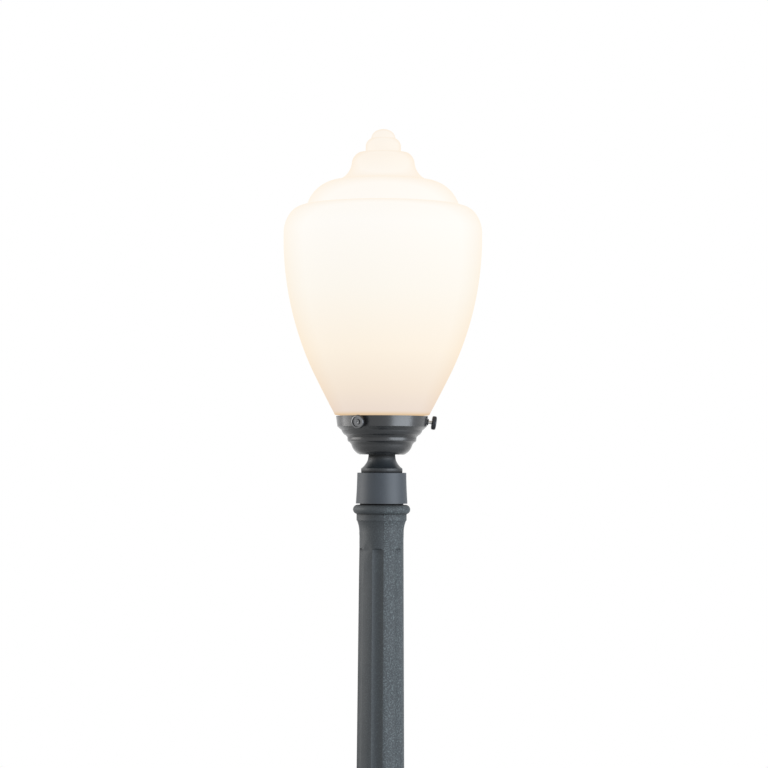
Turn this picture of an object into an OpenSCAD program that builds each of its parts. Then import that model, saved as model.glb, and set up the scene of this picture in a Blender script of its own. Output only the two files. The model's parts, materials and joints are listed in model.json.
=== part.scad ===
// Garden post light: an opal acorn globe held in a spun gallery on a fluted tapering post.
// The origin is at the middle of the base's underside, +Z is up and the front is towards -Y.
// Azimuths are in degrees from the front, growing towards +X.

/* [Post] */
// Height from the ground to the top of the bead
post_h = 1060; // [700:10:1600]
// Radius of the shaft at its narrowest, just above the flutes
shaft_r = 25.9; // [24:0.05:27]
// How much the shaft's radius grows for each metre down
taper_per_m = 7.3; // [4:0.1:9]
// Wall of the shaft between the flutes
shaft_wall = 5.6; // [4.5:0.1:7]
// Radius of the spigot that the collar fits over
spigot_r = 25.5; // [24:0.1:25.7]
// Height of the spigot above the bead
spigot_h = 26; // [20:0.5:30]
// Radius of the bead's round section
bead_round_r = 5.5; // [4:0.1:6]
// Outer radius of the bead
bead_r = 33.6; // [32:0.1:36]
// Radius of the band under the bead
band_r = 29.4; // [28:0.1:30]

/* [Flutes] */
// Number of flutes
flute_count = 6; // [3:1:8]
// Azimuth of the front flute
flute_azimuth = -9.5; // [-30:0.5:30]
// Radius of the hollow of a flute
flute_hollow_r = 15.2; // [10:0.1:20]
// Depth of a flute's floor below the round of the shaft
flute_depth = 2.35; // [1:0.05:2.8]
// Radius that the flute ends are rounded with
flute_end_r = 3.2; // [2.5:0.1:5]
// Distance from the bead's top down to the flute tops
flute_top_drop = 50.5; // [45:0.5:80]
// Height of the lower flute ends above the ground
flute_foot_z = 110; // [90:5:200]

/* [Base] */
// Radius of the round base
base_r = 95; // [85:1:120]
// Thickness of the base at its edge
base_edge_h = 10; // [8:0.5:14]
// Height of the socket that holds the post's foot
hub_h = 50; // [40:1:70]
// Outer radius of the socket
hub_r = 39; // [38:0.5:44]
// Radius of the post's turned foot
foot_r = 31.5; // [30.5:0.1:31.6]
// Radius of the circle that the anchor holes lie on
anchor_circle_r = 75; // [70:1:80]
// Radius of an anchor hole
anchor_hole_r = 5.5; // [4:0.5:7]
// Thickness of the floor under the post
base_floor = 12; // [9:0.5:16]

/* [Collar and neck] */
// Height of the collar
collar_h = 36.2; // [32:0.1:40]
// Radius of the collar at its lower edge
collar_low_r = 30.3; // [29.5:0.1:32]
// Radius of the collar at its upper edge
collar_top_r = 28.8; // [28.2:0.05:30]
// Thickness of the collar's top plate
collar_plate = 4; // [3:0.5:5]
// Gap that shows the spigot between the bead and the collar
collar_gap = 1.4; // [1:0.1:3]
// Height of the neck
neck_h = 21.3; // [18:0.1:26]

/* [Gallery] */
// Height of the gallery
gallery_h = 45.1; // [45:0.1:48]
// Sheet thickness of the gallery
gallery_wall = 1.2; // [0.8:0.1:1.4]
// Radius of the gallery at its rim
rim_r = 54.2; // [53.6:0.1:54.5]

/* [Thumb screws] */
// Azimuths of the three thumb screws
screw_azimuths = [-27, 93, 213];
// Radius of the screw thread
screw_r = 2; // [1.5:0.1:2.2]
// Radial play of the screw in its insert
screw_play = 0.06; // [0.03:0.01:0.1]
// Radius of the thumb-screw head
knob_r = 8; // [6:0.1:9]
// Thickness of the thumb-screw head
knob_h = 5.2; // [3.5:0.1:6]
// Length of shank that shows between the insert and the head
shank_show = 4; // [3:0.1:6]
// Number of knurls round the head
knurl_count = 24; // [12:1:30]

/* [Glass globe] */
// Radius of the globe at its widest
globe_r = 116.8; // [110:0.1:130]
// Height of the globe from its shoulder to the tip of the finial
globe_h = 337.4; // [320:0.1:370]
// Wall of the glass
glass_wall = 3.5; // [2.5:0.1:4]
// Outer radius of the glass neck that stands in the gallery
glass_neck_r = 48; // [47.5:0.1:48.2]
// Height of the lip at the foot of the glass neck
lip_h = 2.7; // [2:0.1:3]
// How far the lip stands out from the glass neck
lip_out = 2.2; // [1.5:0.1:2.4]
// Clear gap between the rim of the gallery and the glass shoulder
shoulder_gap = 1.2; // [0.5:0.1:2]

/* [Lamp and its holder] */
// Length of the lamp
lamp_h = 108; // [100:1:116]
// Radius of the lamp's dome
lamp_r = 30; // [28:0.5:32]
// Outer radius of the porcelain holder
holder_r = 21.5; // [20.5:0.1:23]
// Height of the porcelain holder
holder_h = 34.5; // [33:0.5:35]
// Outer radius of the threaded nipple
nipple_r = 5; // [4.8:0.1:5.2]
// Bore radius of the nipple
nipple_bore_r = 3.5; // [3.3:0.1:3.8]
// Radius of the lamp's lead
lead_r = 3.2; // [2.8:0.1:3.2]

/* [Hidden] */
$fn = 96;

// Fits and small sizes that repeat
slip_fit = 0.1;
hole_play = 0.3;
thread_play = 0.05;
through = 1;
edge_break = 0.5;
end_gap = 0.5;
flatness = 0.01;

// Levels from the ground up
collar_z = post_h + collar_gap;
neck_z = collar_z + collar_h;
gallery_z = neck_z + neck_h;
rim_z = gallery_z + gallery_h;

// Shaft
taper = taper_per_m / 1000;
taper_angle = atan(taper);
shaft_neck_z = -41.5;
band_foot_z = -18.2;
hub_top = hub_h - post_h;
foot_z = base_floor - post_h;
bore_r = shaft_r - shaft_wall;
function shaft_r_at(z) = shaft_r + (shaft_neck_z - z) * taper;

// Gallery wall and the screws that are square to it
gallery_seat = [[47.5, 28.4], [52.5, 32.8]];
wall_lean = atan((rim_r - gallery_seat[1][0]) / (gallery_h - gallery_seat[1][1]));
screw_z = gallery_h - 6.6;
screw_wall_r = rim_r - (gallery_h - screw_z) * tan(wall_lean);
insert_flange_h = 1.3;
insert_flange_r = 3.9;
insert_barrel_r = screw_r + 0.95;
insert_barrel_h = 2.2;
glass_gap = 0.3;
screw_tip = -(screw_wall_r - glass_neck_r - glass_gap) / cos(wall_lean);
knob_start = insert_flange_h + shank_show;

// Glass
lip_z = 34.3;
globe_shoulder_z = gallery_h + shoulder_gap - lip_z;

// Holder
bracket_t = 1.5;
bracket_rise = 11.4;
bracket_w = 14;
bracket_foot_x = 14;
bracket_screw_x = 17.5;
bracket_screw_r = 1.5;
bracket_screw_grip = 6;
bracket_z = gallery_z + gallery_wall;
holder_z = bracket_z + bracket_rise;
holder_floor = 9;
shell_r = 13.95;
shell_wall = 0.6;
contact_h = 1.2;
lamp_z = holder_z + holder_floor + contact_h;

// Nipple and its nuts
nut_h = 5;
nut_flats = 14;
nipple_end = 1;
washer_t = 1.2;
washer_r = 10;
upper_nut_z = bracket_z + bracket_t;
plate_z = neck_z - collar_plate;
lower_nut_z = plate_z - washer_t - nut_h;
nipple_low = lower_nut_z - nipple_end;
nipple_top = upper_nut_z + nut_h + nipple_end;

// Foot of the lead
block_size = [14, 20, 22];
lead_grip = 3.5;
lead_socket = lead_grip + edge_break;
bush_x = -18.5;
bush_r = 6.5;
bush_bore_r = 4;

function span(p, q) = norm([q[0] - p[0], q[1] - p[1]]);
function heading(p, q) = atan2(q[1] - p[1], q[0] - p[0]);
function half_turn(p, q) = 2 * atan(2 * q[2] / span(p, q));

// A turned outline is a list of [radius, height, bulge] points from the bottom up. The bulge is how
// far the stretch that ends there bows off its chord: above 0 outwards, below 0 inwards.
function heading_in(path, i) = heading(path[i - 1], path[i]) + half_turn(path[i - 1], path[i]);
function heading_out(path, i) = heading(path[i], path[i + 1]) - half_turn(path[i], path[i + 1]);
function turned_in(point, before, after, t) =
    let (lean = (before + after) / 2 + 90, reach = t / cos((after - before) / 2))
    [max(0, point[0] + reach * cos(lean)), point[1] + reach * sin(lean)];

// The same outline moved inwards by a wall's thickness
function inset(path, t) =
    let (
        last = len(path) - 1,
        moved = [for (i = [0:last]) turned_in(
            path[i],
            i == 0 ? heading_out(path, 0) : heading_in(path, i),
            i == last ? heading_in(path, last) : heading_out(path, i),
            t
        )]
    )
    [for (i = [0:last]) [
        moved[i][0],
        moved[i][1],
        i == 0 ? 0 : path[i][2] * span(moved[i - 1], moved[i]) / span(path[i - 1], path[i])
    ]];

// The point at a fraction t of the way along a bowed stretch
function along(p, q, t) =
    let (
        half = half_turn(p, q),
        arc_r = span(p, q) / (2 * sin(half)),
        start = heading(p, q) - half,
        here = start + 2 * half * t
    )
    [max(0, p[0] + arc_r * (sin(here) - sin(start))), p[1] + arc_r * (cos(start) - cos(here))];

// How many straight steps keep within flatness of a bowed stretch
function arc_steps(p, q) =
    let (half = abs(half_turn(p, q)), arc_r = span(p, q) / (2 * sin(half)))
    ceil(half / acos(1 - min(0.5, flatness / arc_r)));

// The outline's points, with each bowed stretch in straight steps
function trace(path) = [
    [path[0][0], path[0][1]],
    for (i = [1:len(path) - 1])
        let (
            p = path[i - 1],
            q = path[i],
            steps = q[2] == 0 ? 1 : arc_steps(p, q)
        )
        for (k = [1:steps])
            k == steps ? [q[0], q[1]] : along(p, q, k / steps)
];

module turned_face(path) {
    polygon(concat(
        [[0, path[0][1]]],
        trace(path),
        [[0, path[len(path) - 1][1]]]
    ));
}

// Half the section of a disc with both edges rounded
module round_edged(r, h, edge_r) {
    union() {
        square([r - edge_r, h]);
        translate([0, edge_r])
            square([r, h - 2 * edge_r]);
        for (z = [edge_r, h - edge_r])
            translate([r - edge_r, z])
                circle(edge_r);
    }
}

module at_azimuth(a) {
    rotate([0, 0, a - 90]) children();
}

// +Z here points out of the gallery's wall, from the wall's outer face
module at_screw(a) {
    at_azimuth(a)
        translate([screw_wall_r, 0, gallery_z + screw_z])
            rotate([0, 90 + wall_lean, 0])
                children();
}

module hex_nut(h, flats, bore) {
    difference() {
        cylinder(h = h, r = flats / sqrt(3), $fn = 6);
        translate([0, 0, -through])
            cylinder(h = h + 2 * through, r = bore);
    }
}

// A grub screw along +X from the tip, with its hexagon socket at the far end
module grub_screw(r, length) {
    socket_depth = length / 2;
    rotate([0, 90, 0])
        difference() {
            cylinder(h = length, r = r - thread_play);
            translate([0, 0, length - socket_depth])
                cylinder(h = socket_depth + through, r = r / 2, $fn = 6);
        }
}

// A slotted screw: the head stands on the ground and the shank hangs below it
module slotted_screw(r, length) {
    head_r = r + 1.2;
    head_h = 1.8;
    slot_w = 0.8;
    difference() {
        union() {
            cylinder(h = head_h, r = head_r);
            translate([0, 0, -length])
                cylinder(h = length + edge_break, r = r);
        }
        translate([-head_r - through, -slot_w / 2, head_h - slot_w])
            cube([2 * (head_r + through), slot_w, slot_w + through]);
    }
}

// Post, from the bead's top down: the spigot is above 0
post_outline = [
    [foot_r, foot_z, 0],
    [foot_r, hub_top, 0],
    [shaft_r_at(hub_top), hub_top, 0],
    [shaft_r, shaft_neck_z, 0],
    [shaft_r + 0.2, shaft_neck_z + 8, 0],
    [band_r - 0.7, band_foot_z - edge_break, -0.8],
    [band_r, band_foot_z, 0],
    [band_r, -bead_round_r, 0],
    [spigot_r, -bead_round_r, 0],
    [spigot_r, spigot_h - edge_break, 0],
    [spigot_r - edge_break, spigot_h, 0]
];

module post() {
    flute_length = post_h - flute_top_drop - flute_foot_z;
    flute_axis_r = shaft_r_at(-flute_top_drop) - flute_depth + flute_hollow_r;
    color("#5b6470")
        translate([0, 0, post_h])
            difference() {
                rotate_extrude()
                    difference() {
                        union() {
                            turned_face(post_outline);
                            translate([bead_r - bead_round_r, -bead_round_r])
                                circle(bead_round_r);
                        }
                        polygon([
                            [0, foot_z - through],
                            [bore_r + (shaft_neck_z - foot_z) * taper, foot_z - through],
                            [bore_r + (shaft_neck_z - foot_z) * taper, foot_z],
                            [bore_r, shaft_neck_z],
                            [bore_r, spigot_h + through],
                            [0, spigot_h + through]
                        ]);
                    }
                for (i = [0:flute_count - 1])
                    at_azimuth(flute_azimuth + i * 360 / flute_count)
                        translate([flute_axis_r, 0, -flute_top_drop])
                            rotate([0, -taper_angle, 0])
                                translate([0, 0, -flute_length])
                                    rotate_extrude()
                                        round_edged(flute_hollow_r, flute_length, flute_end_r);
            }
}

cast_edge = 3;
base_outline = [
    [base_r, 0, 0],
    [base_r, base_edge_h - cast_edge, 0],
    [base_r - cast_edge, base_edge_h, 0.8],
    [hub_r + 14, base_edge_h + 4, 0],
    [hub_r, base_edge_h + 16, -3.4],
    [hub_r, hub_h - cast_edge, 0],
    [hub_r - cast_edge, hub_h, 0.8]
];
anchor_count = 4;
base_screw_r = 4;
base_screw_z = hub_h - 14;
base_screw_azimuths = [60, 180, 300];

module base_flange() {
    color("#555e69")
        difference() {
            rotate_extrude()
                difference() {
                    turned_face(base_outline);
                    translate([0, base_floor])
                        square([foot_r + slip_fit, hub_h]);
                }
            for (i = [0:anchor_count - 1])
                at_azimuth(45 + i * 360 / anchor_count)
                    translate([anchor_circle_r, 0, -through])
                        cylinder(h = hub_h, r = anchor_hole_r);
            for (a = base_screw_azimuths)
                at_azimuth(a)
                    translate([0, 0, base_screw_z])
                        rotate([0, 90, 0])
                            cylinder(h = base_r, r = base_screw_r);
            translate([bush_x, 0, -through])
                cylinder(h = base_floor + 2 * through, r = bush_r);
            for (y = [-1, 1])
                translate([0, y * terminal_screw_y, base_floor - terminal_screw_grip])
                    cylinder(h = terminal_screw_grip + through, r = terminal_screw_r + thread_play);
        }
}

module base_screws() {
    color("#8d9094")
        for (a = base_screw_azimuths)
            at_azimuth(a)
                translate([foot_r + thread_play, 0, base_screw_z])
                    grub_screw(base_screw_r, hub_r - foot_r - end_gap);
}

module cable_bush() {
    bush_flange_r = bush_r + 1.8;
    bush_flange_h = 2.5;
    bush_recess = 2;
    color("#1d1d1f")
        translate([bush_x, 0, 0])
            difference() {
                union() {
                    translate([0, 0, bush_recess])
                        cylinder(h = base_floor - bush_recess, r = bush_r - thread_play);
                    translate([0, 0, base_floor])
                        cylinder(h = bush_flange_h, r = bush_flange_r);
                }
                translate([0, 0, -through])
                    cylinder(h = base_floor + bush_flange_h + 2 * through, r = bush_bore_r);
            }
}

terminal_screw_r = 1.5;
terminal_screw_y = 7;
terminal_screw_grip = 7;
terminal_foot_h = 3;

// Three ways side by side, with a foot at each end that is screwed to the floor
module terminal_block() {
    way = 4;
    way_r = 1.4;
    body_w = 8;
    color("#e8e6df")
        translate([0, 0, base_floor])
            difference() {
                union() {
                    translate([-block_size[0] / 2, -block_size[1] / 2, 0])
                        cube([block_size[0], block_size[1], terminal_foot_h]);
                    translate([-block_size[0] / 2, -body_w / 2, 0])
                        cube([block_size[0], body_w, block_size[2]]);
                }
                translate([0, 0, block_size[2] - lead_socket])
                    cylinder(h = lead_socket + through, r = lead_r + slip_fit);
                for (x = [-way, 0, way])
                    translate([x, 0, block_size[2] / 2])
                        rotate([90, 0, 0])
                            cylinder(h = block_size[1], r = way_r, center = true);
                for (y = [-1, 1])
                    translate([0, y * terminal_screw_y, -through])
                        cylinder(h = terminal_foot_h + 2 * through, r = terminal_screw_r + thread_play);
            }
}

module terminal_screws() {
    color("#b9bcc0")
        for (y = [-1, 1])
            translate([0, y * terminal_screw_y, base_floor + terminal_foot_h])
                slotted_screw(terminal_screw_r, terminal_foot_h + terminal_screw_grip - end_gap);
}

// The lead hangs down the middle, from the lampholder to the terminal block
module lamp_lead() {
    low_end = base_floor + block_size[2] - lead_grip;
    high_end = holder_z + lead_grip;
    color("#2a2a2c")
        translate([0, 0, low_end])
            cylinder(h = high_end - low_end, r = lead_r);
}

collar_outline = [
    [collar_low_r, 0, 0],
    [collar_top_r, collar_h - edge_break, -0.27],
    [collar_top_r - edge_break, collar_h, 0]
];
collar_screw_r = 2.5;
collar_screw_z = 12;
collar_screw_azimuths = [120, 240];
spigot_lip = 4;

module collar() {
    seat = spigot_h - collar_gap;
    color("#5d6570")
        translate([0, 0, collar_z])
            difference() {
                rotate_extrude()
                    difference() {
                        turned_face(collar_outline);
                        translate([0, -through])
                            square([spigot_r + slip_fit, seat + through]);
                        square([spigot_r - spigot_lip, collar_h - collar_plate]);
                        square([nipple_r + hole_play, collar_h + through]);
                    }
                for (a = collar_screw_azimuths)
                    at_azimuth(a)
                        translate([0, 0, collar_screw_z])
                            rotate([0, 90, 0])
                                cylinder(h = 2 * collar_low_r, r = collar_screw_r);
            }
}

module collar_screws() {
    color("#8d9094")
        for (a = collar_screw_azimuths)
            at_azimuth(a)
                translate([spigot_r + thread_play, 0, collar_z + collar_screw_z])
                    grub_screw(collar_screw_r, collar_top_r - spigot_r - slip_fit);
}

neck_outline = [
    [23.6, 0, 0],
    [24.3, 0.7, 0.15],
    [24.3, 4, 0],
    [23.3, 5.6, 0.3],
    [16.2, neck_h - 5.2, -1],
    [15.6, neck_h, 0]
];

module neck() {
    color("#4e565f")
        translate([0, 0, neck_z])
            rotate_extrude()
                difference() {
                    turned_face(neck_outline);
                    translate([0, -through])
                        square([nipple_r + hole_play, neck_h + 2 * through]);
                }
}

gallery_outline = [
    [0, 0, 0],
    [26.2, 0, 0],
    [34, 6.9, 0.8],
    [35.8, 11.4, 0.15],
    [39.9, 15.4, -0.5],
    [40.5, 19.8, 0.3],
    [44.3, 23.4, -0.5],
    [gallery_seat[0][0], gallery_seat[0][1], 0.4],
    [gallery_seat[1][0], gallery_seat[1][1], 0],
    [rim_r, gallery_h, 0]
];
gallery_inside = inset(gallery_outline, gallery_wall);
gallery_mouth_r = gallery_inside[len(gallery_inside) - 1][0];

module gallery() {
    color("#59626d")
        difference() {
            translate([0, 0, gallery_z])
                rotate_extrude()
                    difference() {
                        turned_face(gallery_outline);
                        turned_face(concat(gallery_inside, [[gallery_mouth_r, gallery_h + through, 0]]));
                        translate([0, -through])
                            square([nipple_r + hole_play, gallery_h]);
                    }
            for (a = screw_azimuths)
                at_screw(a)
                    translate([0, 0, -gallery_wall - through])
                        cylinder(h = gallery_wall + 2 * through, r = insert_barrel_r + thread_play);
        }
}

module screw_inserts() {
    color("#3c4249")
        for (a = screw_azimuths)
            at_screw(a)
                difference() {
                    union() {
                        cylinder(h = insert_flange_h, r = insert_flange_r);
                        translate([0, 0, -insert_barrel_h])
                            cylinder(h = insert_barrel_h + edge_break, r = insert_barrel_r);
                    }
                    translate([0, 0, -insert_barrel_h - through])
                        cylinder(h = insert_barrel_h + insert_flange_h + 2 * through, r = screw_r + screw_play);
                }
}

knob_grip = 2.8;
knob_edge_r = 1.6;

module thumb_screw_shank(a) {
    point = 0.6;
    color("#c9ccd0")
        at_screw(a)
            translate([0, 0, screw_tip])
                union() {
                    cylinder(h = point, r1 = screw_r - point, r2 = screw_r);
                    translate([0, 0, point])
                        cylinder(h = knob_start + knob_grip - screw_tip - point, r = screw_r);
                }
}

// A dished head with a boss in the middle and knurls round the edge
module thumb_screw_head(a) {
    dish_r = knob_r - 1.6;
    dish_depth = 1.5;
    dish_slope = 0.7;
    boss_r = 3.4;
    boss_slope = 0.5;
    dimple_r = 2.2;
    dimple_depth = 0.6;
    knurl_r = 0.55;
    color("#43474d")
        at_screw(a)
            translate([0, 0, knob_start])
                difference() {
                    union() {
                        difference() {
                            rotate_extrude()
                                round_edged(knob_r, knob_h, knob_edge_r);
                            translate([0, 0, knob_h - dish_depth])
                                cylinder(h = dish_depth + through, r1 = dish_r - dish_slope, r2 = dish_r);
                        }
                        translate([0, 0, knob_h - dish_depth - edge_break])
                            cylinder(h = dish_depth + edge_break, r1 = boss_r, r2 = boss_r - boss_slope);
                    }
                    translate([0, 0, knob_h + dimple_r - dimple_depth])
                        sphere(dimple_r);
                    translate([0, 0, -through])
                        cylinder(h = knob_grip + through, r = screw_r);
                    for (i = [0:knurl_count - 1])
                        rotate([0, 0, i * 360 / knurl_count])
                            translate([knob_r + knurl_r / 2, 0, -through])
                                cylinder(h = knob_h + 2 * through, r = knurl_r);
                }
}

module nipple() {
    color("#b5a46a")
        translate([0, 0, nipple_low])
            difference() {
                cylinder(h = nipple_top - nipple_low, r = nipple_r);
                translate([0, 0, -through])
                    cylinder(h = nipple_top - nipple_low + 2 * through, r = nipple_bore_r);
            }
}

module nipple_washer() {
    color("#b9bcc0")
        translate([0, 0, plate_z - washer_t])
            difference() {
                cylinder(h = washer_t, r = washer_r);
                translate([0, 0, -through])
                    cylinder(h = washer_t + 2 * through, r = nipple_r + hole_play);
            }
}

module lower_nut() {
    color("#b9bcc0")
        translate([0, 0, lower_nut_z])
            hex_nut(nut_h, nut_flats, nipple_r + thread_play);
}

module upper_nut() {
    color("#b9bcc0")
        translate([0, 0, upper_nut_z])
            hex_nut(nut_h, nut_flats, nipple_r + thread_play);
}

// One strip bent up to the holder at both ends
module holder_bracket() {
    mid = bracket_t / 2;
    ear_x = bracket_screw_x + 3 * bracket_screw_r;
    line = [
        [-ear_x, bracket_rise - mid],
        [-bracket_foot_x, bracket_rise - mid],
        [-bracket_foot_x, mid],
        [bracket_foot_x, mid],
        [bracket_foot_x, bracket_rise - mid],
        [ear_x, bracket_rise - mid]
    ];
    color("#b9bcc0")
        translate([0, 0, bracket_z])
            difference() {
                rotate([90, 0, 0])
                    linear_extrude(height = bracket_w, center = true)
                        union() {
                            for (i = [1:len(line) - 1])
                                translate(line[i - 1])
                                    rotate(heading(line[i - 1], line[i]))
                                        translate([0, -mid])
                                            square([span(line[i - 1], line[i]), bracket_t]);
                            for (i = [1:len(line) - 2])
                                translate(line[i])
                                    circle(mid);
                        }
                translate([0, 0, -through])
                    cylinder(h = bracket_t + 2 * through, r = nipple_r + hole_play);
                for (x = [-bracket_screw_x, bracket_screw_x])
                    translate([x, 0, bracket_rise - bracket_t - through])
                        cylinder(h = bracket_t + 2 * through, r = bracket_screw_r + hole_play);
            }
}

module bracket_screws() {
    color("#b9bcc0")
        for (x = [-bracket_screw_x, bracket_screw_x])
            translate([x, 0, holder_z - bracket_t])
                rotate([180, 0, 0])
                    slotted_screw(bracket_screw_r, bracket_t + bracket_screw_grip);
}

holder_outline = [
    [holder_r - 1.2, 0, 0],
    [holder_r, 1.2, 0.3],
    [holder_r, 20, 0],
    [holder_r - 2.4, 23, -0.4],
    [holder_r - 3, holder_h - 1, 0],
    [holder_r - 4, holder_h, 0.25]
];

module holder_body() {
    color("#efece4")
        translate([0, 0, holder_z])
            difference() {
                rotate_extrude()
                    turned_face(holder_outline);
                translate([0, 0, holder_floor])
                    cylinder(h = holder_h, r = shell_r + thread_play);
                translate([0, 0, -through])
                    cylinder(h = lead_socket + through, r = lead_r + slip_fit);
                for (x = [-bracket_screw_x, bracket_screw_x])
                    translate([x, 0, -through])
                        cylinder(h = bracket_screw_grip + end_gap + through, r = bracket_screw_r + thread_play);
            }
}

module holder_shell() {
    shell_h = holder_h - holder_floor - end_gap;
    shell_hole_r = 8;
    color("#c7a64b")
        translate([0, 0, holder_z + holder_floor])
            difference() {
                cylinder(h = shell_h, r = shell_r);
                translate([0, 0, shell_wall])
                    cylinder(h = shell_h, r = shell_r - shell_wall);
                translate([0, 0, -through])
                    cylinder(h = shell_h, r = shell_hole_r);
            }
}

contact_r = 4.5;

module holder_contact() {
    color("#c7a64b")
        translate([0, 0, holder_z + holder_floor])
            cylinder(h = contact_h, r = contact_r);
}

cap_r = 13.1;
lamp_outline = [
    [contact_r, 0, 0],
    [contact_r, 1.4, 0],
    [cap_r - 1, 5, 0],
    [cap_r, 6, 0],
    [cap_r, 23.5, 0],
    [14.6, 25.5, 0],
    [16.5, 33, -0.2],
    [lamp_r - 1, lamp_h - 44, 1],
    [lamp_r, lamp_h - lamp_r - 6, 0.15],
    [lamp_r, lamp_h - lamp_r, 0],
    [0, lamp_h, lamp_r * (sqrt(2) - 1) / sqrt(2)]
];

module lamp() {
    color("#f4f2ea")
        translate([0, 0, lamp_z])
            rotate_extrude()
                turned_face(lamp_outline);
}

// A wedge ring that fills the slope under the lip
module globe_gasket() {
    lean = (gallery_seat[1][1] - gallery_seat[0][1]) / (gallery_seat[1][0] - gallery_seat[0][0]);
    seat = inset([for (p = gallery_seat) [p[0], p[1], 0]], gallery_wall);
    inner_r = 47.6;
    outer_r = 50.6;
    function seat_z(r) = seat[0][1] + (r - seat[0][0]) * lean;
    color("#2b2b2b")
        translate([0, 0, gallery_z])
            rotate_extrude()
                polygon([
                    [inner_r, seat_z(inner_r)],
                    [outer_r, seat_z(outer_r)],
                    [outer_r, lip_z],
                    [inner_r, lip_z]
                ]);
}

// The acorn from its shoulder to the tip of its finial, with heights from the shoulder
acorn = [
    [56.3, 1.8, 0.4],
    [80.9, 49.8, 0.2],
    [116.8, 200.8, 8.2],
    [116.8, 213.8, 0],
    [109.8, 236.4, 1.89],
    [92.8, 245.8, 2.3],
    [89.8, 246.2, 0],
    [62.5, 274.8, 5.1],
    [36.8, 298.6, -7],
    [36.2, 300.8, 0],
    [29.6, 308.8, 0.9],
    [20.7, 309.8, 0],
    [20.7, 318.5, 0],
    [14.2, 326.4, 1.1],
    [10, 334.2, 1],
    [0, 337.4, 0.82]
];
acorn_wide = globe_r / max([for (p = acorn) p[0]]);
acorn_tall = globe_h / acorn[len(acorn) - 1][1];
globe_body = [
    for (p = acorn)
        [p[0] * acorn_wide, globe_shoulder_z + p[1] * acorn_tall, p[2] * acorn_wide]
];
shoulder_edge_r = 1.7;
neck_fillet = 2.5;
neck_fillet_bulge = -0.7;
globe_outline = concat([
    [glass_neck_r, 0, 0],
    [glass_neck_r, globe_shoulder_z - neck_fillet, 0],
    [glass_neck_r + neck_fillet, globe_shoulder_z, neck_fillet_bulge],
    [globe_body[0][0] - shoulder_edge_r, globe_shoulder_z, 0]
], globe_body);
globe_inside = inset(globe_body, glass_wall);
glass_neck_bore_r = glass_neck_r - glass_wall;
globe_hollow = concat([
    [glass_neck_bore_r, -through, 0],
    [glass_neck_bore_r, globe_inside[0][1] - neck_fillet, 0],
    [glass_neck_bore_r + neck_fillet, globe_inside[0][1], neck_fillet_bulge]
], globe_inside);

module glass_globe() {
    lip_round = lip_h / 2;
    color("#fdf6e6")
        translate([0, 0, gallery_z + lip_z])
            rotate_extrude()
                difference() {
                    union() {
                        turned_face(globe_outline);
                        square([glass_neck_r + lip_out - lip_round, lip_h]);
                        translate([glass_neck_r + lip_out - lip_round, lip_round])
                            circle(lip_round);
                    }
                    turned_face(globe_hollow);
                }
}

post();
base_flange();
base_screws();
cable_bush();
terminal_block();
terminal_screws();
lamp_lead();
collar();
collar_screws();
neck();
gallery();
screw_inserts();
thumb_screw_shank(screw_azimuths[0]);  // thumb_screw_front_shank
thumb_screw_head(screw_azimuths[0]);  // thumb_screw_front_head
thumb_screw_shank(screw_azimuths[1]);  // thumb_screw_right_shank
thumb_screw_head(screw_azimuths[1]);  // thumb_screw_right_head
thumb_screw_shank(screw_azimuths[2]);  // thumb_screw_rear_shank
thumb_screw_head(screw_azimuths[2]);  // thumb_screw_rear_head
nipple();
nipple_washer();
lower_nut();
upper_nut();
holder_bracket();
bracket_screws();
holder_body();
holder_shell();
holder_contact();
lamp();
globe_gasket();
glass_globe();
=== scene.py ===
# %% [markdown]
# # A garden post light, dressed for its portrait
# The real thing is a slim cast aluminium post with a collar, a neck and a spun metal cup, the gallery, that holds
# a lit opal glass acorn with three thumb screws. The solids come from the CAD model and keep their places and
# sizes. This lesson gives each of them the finish of the real metal or glass, adds the seam that the casting
# mould leaves, and sets up a plain studio.

# %% Load the frame
import math

import bmesh
import bpy
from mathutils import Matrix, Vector
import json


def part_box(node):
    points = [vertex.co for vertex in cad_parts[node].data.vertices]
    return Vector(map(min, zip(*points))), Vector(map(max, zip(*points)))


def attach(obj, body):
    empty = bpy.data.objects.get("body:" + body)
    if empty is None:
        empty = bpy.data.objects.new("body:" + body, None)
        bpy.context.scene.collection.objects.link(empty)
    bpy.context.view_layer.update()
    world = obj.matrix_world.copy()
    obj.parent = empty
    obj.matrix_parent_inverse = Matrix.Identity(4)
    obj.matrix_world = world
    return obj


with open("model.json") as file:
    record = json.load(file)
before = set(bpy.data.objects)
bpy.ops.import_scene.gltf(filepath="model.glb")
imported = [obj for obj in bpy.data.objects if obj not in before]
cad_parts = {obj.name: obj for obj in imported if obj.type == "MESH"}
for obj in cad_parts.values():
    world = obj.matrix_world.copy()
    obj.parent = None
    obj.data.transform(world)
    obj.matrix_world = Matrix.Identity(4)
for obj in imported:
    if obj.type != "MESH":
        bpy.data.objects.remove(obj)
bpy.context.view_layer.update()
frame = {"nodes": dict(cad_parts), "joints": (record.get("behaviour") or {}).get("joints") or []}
nodes = frame["nodes"]
MM = 0.001

# %% [markdown]
# ## Helpers for the finishes
# A material in Blender is a small network of nodes. Colours are written as the sRGB hex values that a paint chart
# gives, and the shader wants linear light, so one function turns them. One more adds a node with its settings, its
# values and its links, and every finish below is made with it. A Mix node keeps a pair of sockets for each kind of
# data: numbers are sockets 2 and 3, and colours are 6 and 7, with the result on output 2.

# %% Colour and node helpers
NUMBER_A, NUMBER_B = 2, 3
COLOUR_A, COLOUR_B, COLOUR_OUT = 6, 7, 2


def linear(hex_colour):
    channels = [int(hex_colour[i:i + 2], 16) / 255 for i in (1, 3, 5)]
    return (*[c / 12.92 if c <= 0.04045 else ((c + 0.055) / 1.055) ** 2.4 for c in channels], 1.0)


def plug(tree, node, sources):
    for socket, source in sources.items():
        tree.links.new(source, node.inputs[socket])


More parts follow.
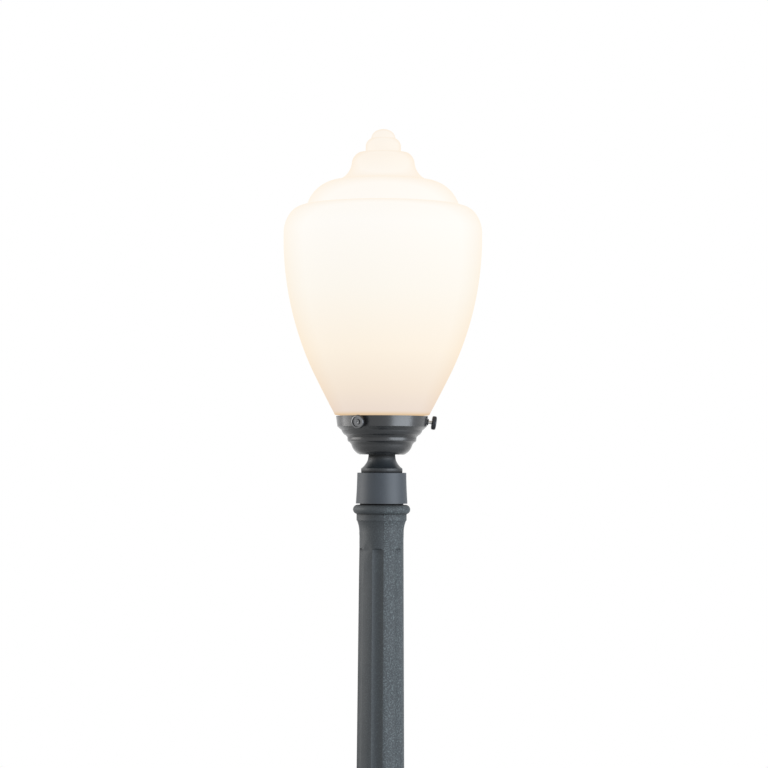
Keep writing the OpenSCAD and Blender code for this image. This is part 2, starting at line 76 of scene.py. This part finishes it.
def add(tree, kind, values=None, links=None, **settings):
    node = tree.nodes.new(kind)
    for name, value in settings.items():
        setattr(node, name, value)
    for socket, value in (values or {}).items():
        node.inputs[socket].default_value = value
    plug(tree, node, links or {})
    return node


def start_finish(name, **values):
    """A new material with one shader, and the point on the piece in millimetres."""
    material = bpy.data.materials.new(name)
    material.use_nodes = True
    tree = material.node_tree
    tree.nodes.clear()
    shader = add(tree, "ShaderNodeBsdfPrincipled", {key.replace("_", " "): value for key, value in values.items()})
    add(tree, "ShaderNodeOutputMaterial", links={"Surface": shader.outputs[0]})
    where = add(tree, "ShaderNodeTexCoord")
    place = add(tree, "ShaderNodeVectorMath", {1: (1 / MM,) * 3}, {0: where.outputs["Object"]}, operation="MULTIPLY")
    return material, tree, shader, place.outputs[0]


def give(material, *names):
    for name in names:
        for holder in nodes[name].material_slots:
            holder.link = "OBJECT"
            holder.material = material
    print(f"{material.name}: {', '.join(names)}")


print(f"the middle grey #808080 is {linear('#808080')[0]:.3f} in linear light")

# %% [markdown]
# ## Painted shade in grooves and under ledges
# Grooves, creases and the undersides of ledges are darkened with painted shade. Those places are found by ambient
# occlusion, the share of the sky that nearby metal leaves open. There the paint is darker and duller than elsewhere,
# and where there is a clear lacquer, the lacquer is taken away too.

# %% Painted shade in the grooves
GROOVE_REACH = 8 * MM
SKY_SHUT, SKY_OPEN = 0.6, 0.96
# painted shade: its colour, the roughness in the grooves, and its greatest share
GROOVE_SHADE_COLOUR, GROOVE_ROUGHNESS, MOST_GROOVE_SHADE = "#0a0a0b", 0.9, 0.97


def shade_grooves(tree, shader, colour, gloss, lacquer=0.0):
    """Plug the paint's colour and roughness into the shader, darkened with painted shade in grooves and dulled
    there, with the lacquer taken away.
    """
    sky = add(tree, "ShaderNodeAmbientOcclusion", {"Distance": GROOVE_REACH}, samples=8)
    groove_shade = add(tree, "ShaderNodeMapRange",
               {"From Min": SKY_SHUT, "From Max": SKY_OPEN, "To Min": MOST_GROOVE_SHADE, "To Max": 0.0},
               {"Value": sky.outputs["AO"]})
    # painted shade: the paint turns dark where nearby metal shuts out the sky
    tone = add(tree, "ShaderNodeMix", {COLOUR_B: linear(GROOVE_SHADE_COLOUR)},
               {"Factor": groove_shade.outputs[0], COLOUR_A: colour}, data_type="RGBA")
    dulled = add(tree, "ShaderNodeMix", {NUMBER_B: GROOVE_ROUGHNESS}, {"Factor": groove_shade.outputs[0], NUMBER_A: gloss})
    plug(tree, shader, {"Base Color": tone.outputs[COLOUR_OUT], "Roughness": dulled.outputs[0]})
    if lacquer:
        coat_outside_grooves = add(tree, "ShaderNodeMapRange", {"To Min": lacquer, "To Max": 0.0}, {"Value": groove_shade.outputs[0]})
        plug(tree, shader, {"Coat Weight": coat_outside_grooves.outputs[0]})


print(f"dirt gathers where metal within {GROOVE_REACH / MM:.0f} mm shuts out the sky")

# %% [markdown]
# ## Round surfaces that catch the light evenly
# A turned profile reaches Blender as many narrow rings. Welding the rings' shared points and weighting the
# normals by area lets light glide over them, and splitting at corners sharper than 28 degrees keeps the real
# edges crisp. Modifiers do this for shading alone and leave the CAD shape as it is.

# %% Even shading for turned pieces
TURNED = ("glass_globe", "gallery", "neck", "collar", "base_flange", "post", "lamp", "holder_body")
SHARED_WITHIN = 0.002 * MM
SHARP_CORNER = math.radians(28)

for name in TURNED:
    piece = nodes[name]
    piece.modifiers.new("join_rings", "WELD").merge_threshold = SHARED_WITHIN
    piece.modifiers.new("keep_corners", "EDGE_SPLIT").split_angle = SHARP_CORNER
    piece.modifiers.new("weigh_normals", "WEIGHTED_NORMAL")
print(f"even shading: {', '.join(TURNED)}")

# %% [markdown]
# ## Stoved powder paint on a sand casting: post and base
# The post is cast aluminium under a slate-grey polyester powder paint, melted on in an oven. It has the depth of
# a satin plastic, IOR 1.5, with the faint ripple called orange peel, 2 to 3 mm across. One half of the mould left
# a coarser skin, so right of the seam the paint is gritty and duller, and its grit carries lighter specks that are
# partly painted glints of light on the grit. The grit is really 0.3 mm; it is drawn at 1.5 mm because finer specks
# vanish at the portrait's scale.

# %% The casting's paint
SEAM_AZIMUTH = math.radians(6)
SEAM_HALF_MM, GRIT_ON_SMOOTH_HALF, COARSE_IS_DULLER = 0.3, 0.25, 0.14
GRIT_MM, PEEL_MM = 1.5, 2.6
seam_out = Vector((math.sin(SEAM_AZIMUTH), -math.cos(SEAM_AZIMUTH), 0))
seam_side = Vector((math.cos(SEAM_AZIMUTH), math.sin(SEAM_AZIMUTH), 0))

cast_paint, tree, shader, place = start_finish("cast_powder_paint")
side = add(tree, "ShaderNodeVectorMath", {1: seam_side}, {0: place}, operation="DOT_PRODUCT")
coarse = add(tree, "ShaderNodeMapRange",
             {"From Min": -SEAM_HALF_MM, "From Max": SEAM_HALF_MM, "To Min": GRIT_ON_SMOOTH_HALF},
             {"Value": side.outputs["Value"]})
grit = add(tree, "ShaderNodeTexNoise", {"Scale": 1 / GRIT_MM, "Detail": 3.0, "Roughness": 0.6}, {"Vector": place})
peel = add(tree, "ShaderNodeTexNoise", {"Scale": 1 / PEEL_MM, "Detail": 1.0}, {"Vector": place})
cloud = add(tree, "ShaderNodeTexNoise", {"Scale": 1 / 34, "Detail": 2.0}, {"Vector": place})
# lighter specks on the coarse half: partly painted glints of light on the grit
speck_glint = add(tree, "ShaderNodeMapRange", {"From Min": 0.48, "From Max": 0.68, "To Max": 0.9},
            {"Value": grit.outputs["Fac"]})
speck_glint = add(tree, "ShaderNodeMath", links={0: speck_glint.outputs[0], 1: coarse.outputs[0]}, operation="MULTIPLY")
tone = add(tree, "ShaderNodeMix", {COLOUR_A: linear("#282d31"), COLOUR_B: linear("#2e3438")},
           {"Factor": cloud.outputs["Fac"]}, data_type="RGBA")
tone = add(tree, "ShaderNodeMix", {COLOUR_B: linear("#5c6668")},
           {"Factor": speck_glint.outputs[0], COLOUR_A: tone.outputs[COLOUR_OUT]}, data_type="RGBA")
gloss = add(tree, "ShaderNodeMapRange", {"To Min": 0.45, "To Max": 0.58}, {"Value": cloud.outputs["Fac"]})
gloss = add(tree, "ShaderNodeMath", {1: COARSE_IS_DULLER}, {0: coarse.outputs[0], 2: gloss.outputs[0]},
            operation="MULTIPLY_ADD")
peel_bump = add(tree, "ShaderNodeBump", {"Distance": 0.03 * MM}, {"Height": peel.outputs["Fac"]})
grit_bump = add(tree, "ShaderNodeBump", {"Distance": 0.2 * MM},
                {"Height": grit.outputs["Fac"], "Strength": coarse.outputs[0], "Normal": peel_bump.outputs[0]})
shade_grooves(tree, shader, tone.outputs[COLOUR_OUT], gloss.outputs[0])
plug(tree, shader, {"Normal": grit_bump.outputs[0]})
give(cast_paint, "post", "base_flange")

# %% [markdown]
# ## The same paint over turned and spun metal: collar, gallery and neck
# The collar is turned on a lathe, and the tool's feed leaves rings that the paint softens but doesn't fill. The
# neck is turned too, but polished before it is painted, so its rings are shallow and its paint is glossier. The
# gallery is sheet pressed over a former while it spins. Its paint is nearly black under a clear lacquer coat. The
# coat gives the ribs their broad highlights, and the paint below it mirrors little, because light bends hardly at
# all between lacquer and paint. A real feed of 0.2 mm is drawn at 1.0 to 1.6 mm, which the portrait can show.

# %% Painted, turned finishes
WAVE_BAND = 0.314  # the width of one band of the Wave texture at scale 1
GLOSS_DRIFT = 0.05


def turned_paint(name, dark, light, roughness, ring_pitch, ring_depth, lacquer=0.0, **values):
    material, tree, shader, place = start_finish(name, **values)
    cloud = add(tree, "ShaderNodeTexNoise", {"Scale": 1 / 22, "Detail": 2.0}, {"Vector": place})
    tone = add(tree, "ShaderNodeMix", {COLOUR_A: linear(dark), COLOUR_B: linear(light)},
               {"Factor": cloud.outputs["Fac"]}, data_type="RGBA")
    gloss = add(tree, "ShaderNodeMapRange", {"To Min": roughness - GLOSS_DRIFT, "To Max": roughness + GLOSS_DRIFT},
                {"Value": cloud.outputs["Fac"]})
    rings = add(tree, "ShaderNodeTexWave",
                {"Scale": WAVE_BAND / ring_pitch, "Distortion": 0.6, "Detail": 1.0, "Detail Scale": 0.3},
                {"Vector": place}, bands_direction="Z")
    peel = add(tree, "ShaderNodeTexNoise", {"Scale": 1 / PEEL_MM, "Detail": 1.0}, {"Vector": place})
    ring_bump = add(tree, "ShaderNodeBump", {"Distance": ring_depth * MM}, {"Height": rings.outputs["Fac"]})
    peel_bump = add(tree, "ShaderNodeBump", {"Distance": 0.02 * MM},
                    {"Height": peel.outputs["Fac"], "Normal": ring_bump.outputs[0]})
    shade_grooves(tree, shader, tone.outputs[COLOUR_OUT], gloss.outputs[0], lacquer)
    plug(tree, shader, {"Normal": peel_bump.outputs[0]})
    return material


give(turned_paint("turned_powder_paint", "#2e343a", "#383e45", roughness=0.52, ring_pitch=1.2, ring_depth=0.02),
     "collar")
give(turned_paint("spun_powder_paint", "#131518", "#191c1f", roughness=0.45, ring_pitch=1.6, ring_depth=0.006,
                  lacquer=1.0, Coat_Roughness=0.26, Specular_IOR_Level=0.25), "gallery")
give(turned_paint("gloss_powder_paint", "#22272b", "#2a2f33", roughness=0.34, ring_pitch=1.0, ring_depth=0.003),
     "neck")

# %% [markdown]
# ## Lit opal glass: the acorn
# Opal glass is clear glass clouded with tiny crystals. It scatters the lamp's light until the whole wall glows,
# and the lamp itself can't be seen. A shader that truly scatters would be slow and grainy, so the wall gives off
# light of its own, and an etched, matt surface adds faint reflections. The glow is whitest round the lamp and up to
# the shoulder, and warmer towards the finial and the gallery, as the colours along the height say. It turns amber
# at the lip, and also where the wall is seen at a slant, because that light has come a longer way through the
# glass. Layer Weight's Facing says how slanted the view is.

# %% The globe's glow
GLOW = ((0.0, "#d3b38a"), (0.034, "#e1c5a1"), (0.045, "#e8d8cb"), (0.12, "#f1e2d1"), (0.25, "#f9eede"),
        (0.45, "#f9f4eb"), (0.66, "#fbf8f3"), (0.80, "#fcf7f0"), (0.90, "#faf1e5"), (1.0, "#faf2e8"))
globe_low, globe_high = (corner.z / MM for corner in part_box("glass_globe"))

opal, tree, shader, place = start_finish("lit_opal_glass", Roughness=0.8, IOR=1.5, Specular_IOR_Level=0.15,
                                         Emission_Strength=1.0)
height = add(tree, "ShaderNodeSeparateXYZ", links={0: place})
rise = add(tree, "ShaderNodeMapRange", {"From Min": globe_low, "From Max": globe_high},
           {"Value": height.outputs["Z"]})
glow = add(tree, "ShaderNodeValToRGB", links={0: rise.outputs[0]})
while len(glow.color_ramp.elements) < len(GLOW):
    glow.color_ramp.elements.new(0.5)
for stop, (position, colour) in zip(glow.color_ramp.elements, GLOW):
    stop.position = position
    stop.color = linear(colour)
slant = add(tree, "ShaderNodeLayerWeight", {"Blend": 0.5})
amber = add(tree, "ShaderNodeMapRange", {"From Min": 0.4, "From Max": 1.0}, {"Value": slant.outputs["Facing"]})
glow = add(tree, "ShaderNodeMix", {COLOUR_B: linear("#f9f1e6")},
           {"Factor": amber.outputs[0], COLOUR_A: glow.outputs[0]}, data_type="RGBA", blend_type="MULTIPLY")
drift = add(tree, "ShaderNodeTexNoise", {"Scale": 1 / 120, "Detail": 1.0}, {"Vector": place})
wall = add(tree, "ShaderNodeMix", {COLOUR_A: linear("#282725"), COLOUR_B: linear("#2e2d2b")},
           {"Factor": drift.outputs["Fac"]}, data_type="RGBA")
ripple = add(tree, "ShaderNodeBump", {"Distance": 0.4 * MM}, {"Height": drift.outputs["Fac"]})
plug(tree, shader, {"Base Color": wall.outputs[COLOUR_OUT], "Emission Color": glow.outputs[COLOUR_OUT],
                    "Normal": ripple.outputs[0]})
give(opal, "glass_globe")

# %% [markdown]
# ## Metal fittings
# The screw shanks, nuts and bracket are steel with a bright zinc plating. The inserts, the grub screws and the
# thumb-screw heads are steel blackened in a hot bath. The nipple and the lampholder's shell and contact are drawn
# brass. A metal keeps the shader's default IOR, and its colour is the colour of its reflections. Each has soft
# stains of one or two millimetres, which are a little darker and duller than the clean metal.

# %% Zinc, brass and blackened steel
SMOOTHER_BY, ROUGHER_BY = 0.08, 0.1


def metal(name, colour, stained, roughness, grain):
    material, tree, shader, place = start_finish(name, Metallic=1.0)
    cloud = add(tree, "ShaderNodeTexNoise", {"Scale": 1 / grain, "Detail": 3.0}, {"Vector": place})
    tone = add(tree, "ShaderNodeMix", {COLOUR_A: linear(colour), COLOUR_B: linear(stained)},
               {"Factor": cloud.outputs["Fac"]}, data_type="RGBA")
    gloss = add(tree, "ShaderNodeMapRange", {"To Min": roughness - SMOOTHER_BY, "To Max": roughness + ROUGHER_BY},
                {"Value": cloud.outputs["Fac"]})
    bump = add(tree, "ShaderNodeBump", {"Distance": 0.02 * MM}, {"Height": cloud.outputs["Fac"]})
    plug(tree, shader, {"Base Color": tone.outputs[COLOUR_OUT], "Roughness": gloss.outputs[0],
                        "Normal": bump.outputs[0]})
    return material, tree, shader, tone.outputs[COLOUR_OUT]


zinc = metal("bright_zinc_plate", "#c9c9c8", "#a5a49f", roughness=0.3, grain=2.0)[0]
give(zinc, "thumb_screw_front_shank", "thumb_screw_right_shank", "thumb_screw_rear_shank", "terminal_screws",
     "nipple_washer", "lower_nut", "upper_nut", "holder_bracket", "bracket_screws")
brass = metal("drawn_brass", "#b89a58", "#967a3f", roughness=0.3, grain=2.0)[0]
give(brass, "nipple", "holder_shell", "holder_contact")
black_steel = metal("blackened_steel", "#4a4c50", "#2c2d30", roughness=0.38, grain=1.2)[0]
give(black_steel, "screw_inserts", "collar_screws", "base_screws")

# %% [markdown]
# ## Thumb-screw heads, rubbed and with a painted highlight
# The outer faces of the heads are made brighter: partly wear where fingers turned the screws, and partly a painted
# highlight on the rim. The black has stayed in the knurling. The surface's normal tells the two apart: on the outer
# face it runs along the screw's own axis.

# %% Thumb-screw heads
def worn_and_highlit_head(head, axis):
    """Blackened steel, brighter where the surface faces outwards along the screw's own axis: partly rubbed wear,
    partly a painted highlight.
    """
    material, tree, shader, black = metal(f"rubbed_and_highlit_steel_{head}", "#484a4e", "#2e2f32", roughness=0.36, grain=1.2)
    where = add(tree, "ShaderNodeTexCoord")
    faces = add(tree, "ShaderNodeVectorMath", {1: axis}, {0: where.outputs["Normal"]}, operation="DOT_PRODUCT")
    # brighter outer faces: partly wear, partly a painted highlight
    wear_and_highlight = add(tree, "ShaderNodeMapRange", {"From Min": 0.5, "From Max": 0.95, "To Max": 0.4},
                 {"Value": faces.outputs["Value"]})
    bright = add(tree, "ShaderNodeMix", {COLOUR_B: linear("#a9aaab")},
                 {"Factor": wear_and_highlight.outputs[0], COLOUR_A: black}, data_type="RGBA")
    plug(tree, shader, {"Base Color": bright.outputs[COLOUR_OUT]})
    give(material, head)


for joint in frame["joints"]:
    worn_and_highlit_head(f"{joint['child']}_head", joint["axis"])

# %% [markdown]
# ## What the globe and the base hide
# The lampholder is glazed porcelain, the lamp has a frosted envelope, the terminal block is moulded nylon, the
# bush and the gasket are moulded rubber, and the lead has a smooth rubber sheath. Little of this shows, but
# someone who opens the light sees it.

# %% Hidden fittings
def moulded(name, dark, light, roughness, grain, depth):
    material, tree, shader, place = start_finish(name, Roughness=roughness)
    cloud = add(tree, "ShaderNodeTexNoise", {"Scale": 1 / grain, "Detail": 2.0}, {"Vector": place})
    tone = add(tree, "ShaderNodeMix", {COLOUR_A: linear(dark), COLOUR_B: linear(light)},
               {"Factor": cloud.outputs["Fac"]}, data_type="RGBA")
    bump = add(tree, "ShaderNodeBump", {"Distance": depth * MM}, {"Height": cloud.outputs["Fac"]})
    plug(tree, shader, {"Base Color": tone.outputs[COLOUR_OUT], "Normal": bump.outputs[0]})
    return material


give(moulded("glazed_porcelain", "#e2ddcf", "#ece8dd", roughness=0.12, grain=14, depth=0.05), "holder_body")
give(moulded("frosted_envelope", "#ece8dc", "#f4f1e8", roughness=0.45, grain=3, depth=0.02), "lamp")
give(moulded("moulded_nylon", "#dcd9cf", "#e6e4dc", roughness=0.5, grain=1.5, depth=0.02), "terminal_block")
give(moulded("moulded_rubber", "#1c1c1d", "#242425", roughness=0.7, grain=1.0, depth=0.04),
     "cable_bush", "globe_gasket")
give(moulded("rubber_sheath", "#222224", "#2b2b2d", roughness=0.55, grain=1.5, depth=0.02), "lamp_lead")

# %% [markdown]
# ## The mould's seam
# Sand moulds come in two halves, and metal that creeps between them leaves a fin that is filed down to a low
# ridge. It runs up the shaft a little right of the front, through the flute's edge and over the bead, and again
# at the back. Each ridge is laid by dropping rays onto the casting, so that it follows every step of the profile.

# %% File-dressed seam ridges
RIDGE = ((-0.7, -0.12), (-0.25, 0.16), (0.25, 0.16), (0.7, -0.12))  # its section in mm: across, and out of the skin
RAY_START = 0.2
SEAM_HIGH, SEAM_STEPS = 1.0595, 420
seam_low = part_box("base_flange")[1].z + 0.5 * MM


def seam_ridge(name, outwards):
    along = outwards.cross(Vector((0, 0, 1)))
    mesh = bmesh.new()
    rings = []
    for step in range(SEAM_STEPS + 1):
        level = Vector((0, 0, seam_low + (SEAM_HIGH - seam_low) * step / SEAM_STEPS))
        hit, spot, _, _ = nodes["post"].ray_cast(level + outwards * RAY_START, -outwards)
        if hit:
            radius = spot.xy.length
            rings.append([mesh.verts.new(level + outwards * (radius + out * MM) + along * across * MM)
                          for across, out in RIDGE])
    for lower, upper in zip(rings, rings[1:]):
        for corner in range(len(RIDGE)):
            after = (corner + 1) % len(RIDGE)
            mesh.faces.new((lower[corner], lower[after], upper[after], upper[corner]))
    mesh.faces.new(rings[0][::-1])
    mesh.faces.new(rings[-1])
    bmesh.ops.recalc_face_normals(mesh, faces=mesh.faces)
    data = bpy.data.meshes.new(name)
    mesh.to_mesh(data)
    mesh.free()
    data.materials.append(cast_paint)
    ridge = bpy.data.objects.new(name, data)
    bpy.context.scene.collection.objects.link(ridge)
    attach(ridge, "lamp_post")
    print(f"{name}: {len(rings)} rings up the casting")


seam_ridge("seam_front", seam_out)
seam_ridge("seam_back", -seam_out)

# %% [markdown]
# ## The studio's floor
# The floor is a wide pale disc of matt paper that keeps the post's shadow and fades to the white of the background.
# The fade works only for rays that come straight from the camera or by way of metal or glass, as Light Path says.
# For the light that spreads over the floor, the paper stays paper to its edge.

# %% Floor
FLOOR_R, FLOOR_SIDES, FLOOR_DROP = 3.4, 128, 1 * MM
FADE_STARTS, FADE_ENDS = 0.9, 2.3


def seen_directly(tree):
    """1 for rays of the camera and for those that mirror or pass through, and 0 for light that spreads."""
    path = add(tree, "ShaderNodeLightPath")
    seen = add(tree, "ShaderNodeMath", links={0: path.outputs["Is Camera Ray"], 1: path.outputs["Is Glossy Ray"]},
               operation="MAXIMUM")
    seen = add(tree, "ShaderNodeMath", links={0: seen.outputs[0], 1: path.outputs["Is Transmission Ray"]},
               operation="MAXIMUM")
    return seen.outputs[0]


disc = bmesh.new()
bmesh.ops.create_circle(disc, cap_ends=True, segments=FLOOR_SIDES, radius=FLOOR_R)
floor_mesh = bpy.data.meshes.new("studio_floor")
disc.to_mesh(floor_mesh)
disc.free()
floor = bpy.data.objects.new("studio_floor", floor_mesh)
floor.location.z = -FLOOR_DROP
bpy.context.scene.collection.objects.link(floor)

paper = bpy.data.materials.new("studio_paper")
paper.use_nodes = True
tree = paper.node_tree
tree.nodes.clear()
where = add(tree, "ShaderNodeTexCoord")
out = add(tree, "ShaderNodeVectorMath", links={0: where.outputs["Object"]}, operation="LENGTH")
fade = add(tree, "ShaderNodeMapRange", {"From Min": FADE_STARTS, "From Max": FADE_ENDS},
           {"Value": out.outputs["Value"]}, interpolation_type="SMOOTHSTEP")
fibre = add(tree, "ShaderNodeTexNoise", {"Scale": 600.0}, {"Vector": where.outputs["Object"]})
shade = add(tree, "ShaderNodeMix", {COLOUR_A: linear("#cccccb"), COLOUR_B: linear("#d2d2d1")},
            {"Factor": fibre.outputs["Fac"]}, data_type="RGBA")
matt = add(tree, "ShaderNodeBsdfDiffuse", links={"Color": shade.outputs[COLOUR_OUT]})
white = add(tree, "ShaderNodeEmission", {"Strength": 1.0})
share = add(tree, "ShaderNodeMath", links={0: fade.outputs[0], 1: seen_directly(tree)}, operation="MULTIPLY")
mixed = add(tree, "ShaderNodeMixShader", links={0: share.outputs[0], 1: matt.outputs[0], 2: white.outputs[0]})
add(tree, "ShaderNodeOutputMaterial", links={"Surface": mixed.outputs[0]})
floor_mesh.materials.append(paper)
print(f"floor: {FLOOR_R} m in radius, white from {FADE_ENDS} m outwards")

# %% [markdown]
# ## The studio's walls
# The world is white for the camera and for what metal and glass mirror. For the light that it sheds it is a softer
# grey, so that the pale floor doesn't clip to white and the softboxes can draw the post's edges.

# %% World
SHED_LIGHT = 0.45
world = bpy.data.worlds.new("studio_white")
bpy.context.scene.world = world
world.use_nodes = True
tree = world.node_tree
tree.nodes.clear()
strength = add(tree, "ShaderNodeMapRange", {"To Min": SHED_LIGHT, "To Max": 1.0}, {"Value": seen_directly(tree)})
background = add(tree, "ShaderNodeBackground", {"Color": (1, 1, 1, 1)}, {"Strength": strength.outputs[0]})
add(tree, "ShaderNodeOutputWorld", links={"Surface": background.outputs[0]})
print(f"world: white, and {SHED_LIGHT} for the light that it sheds")

# %% [markdown]
# ## Two softboxes
# A wide, cool softbox stands to the right of the camera and reaches low, because the gallery's wall leans and
# mirrors what stands below it. A smaller, weaker one stands high on the left, a little behind the post, and only
# draws the post's left edge. Both are hidden from the camera, so that no view from the side catches them.

# %% Softboxes
SOFTBOX_AIM_Z = 1.15


def softbox(name, azimuth, distance, height, width, tall, watts, colour):
    light = bpy.data.lights.new(name, "AREA")
    light.shape = "RECTANGLE"
    light.size, light.size_y = width, tall
    light.energy = watts
    light.color = linear(colour)[:3]
    box = bpy.data.objects.new(name, light)
    turn = math.radians(azimuth)
    box.location = (math.sin(turn) * distance, -math.cos(turn) * distance, height)
    box.rotation_euler = (Vector((0, 0, SOFTBOX_AIM_Z)) - box.location).to_track_quat("-Z", "Y").to_euler()
    box.visible_camera = False
    bpy.context.scene.collection.objects.link(box)
    print(f"{name}: {watts} W, {width} by {tall} m, {azimuth} degrees to the right of the front")


softbox("softbox_right", azimuth=53, distance=2.3, height=1.1, width=2.3, tall=1.9, watts=74, colour="#eaf2fb")
softbox("softbox_left", azimuth=-98, distance=2.2, height=1.5, width=1.7, tall=1.5, watts=30, colour="#fbf9f7")

# %% [markdown]
# ## The camera
# In the portrait the gallery's rim spans 92 pixels, so a pixel is 1.175 mm at the post. From 3 m away that takes
# a lens of 120 mm. The camera stands a little below the gallery and looks up by two degrees. The globe in the
# portrait leans a little more than the post does, and the camera's roll of a quarter of a degree suits both best.

# %% Camera
MM_PER_PIXEL, IMAGE_PIXELS = 1.175, 768
SENSOR_MM = 36
DISTANCE = 3.0
CAMERA_X, CAMERA_Z, AIM_Z = 0.0026, 1.100, 1.2018
CAMERA_ROLL = math.radians(0.27)
camera_data = bpy.data.cameras.new("portrait_camera")
camera_data.sensor_width = SENSOR_MM
camera_data.lens = SENSOR_MM * DISTANCE / (IMAGE_PIXELS * MM_PER_PIXEL * MM)
camera = bpy.data.objects.new("portrait_camera", camera_data)
camera.location = (CAMERA_X, -DISTANCE, CAMERA_Z)
camera.rotation_euler = (math.radians(90) + math.atan((AIM_Z - CAMERA_Z) / DISTANCE), -CAMERA_ROLL, 0)
bpy.context.scene.collection.objects.link(camera)
bpy.context.scene.camera = camera
bpy.context.scene.view_settings.view_transform = "Standard"
print(f"lens {camera_data.lens:.1f} mm")

# %% [markdown]
# ## Bring the scene up to date
# The view layer is updated, so that every piece stands where the script put it.

# %% Update the view layer
bpy.context.view_layer.update()
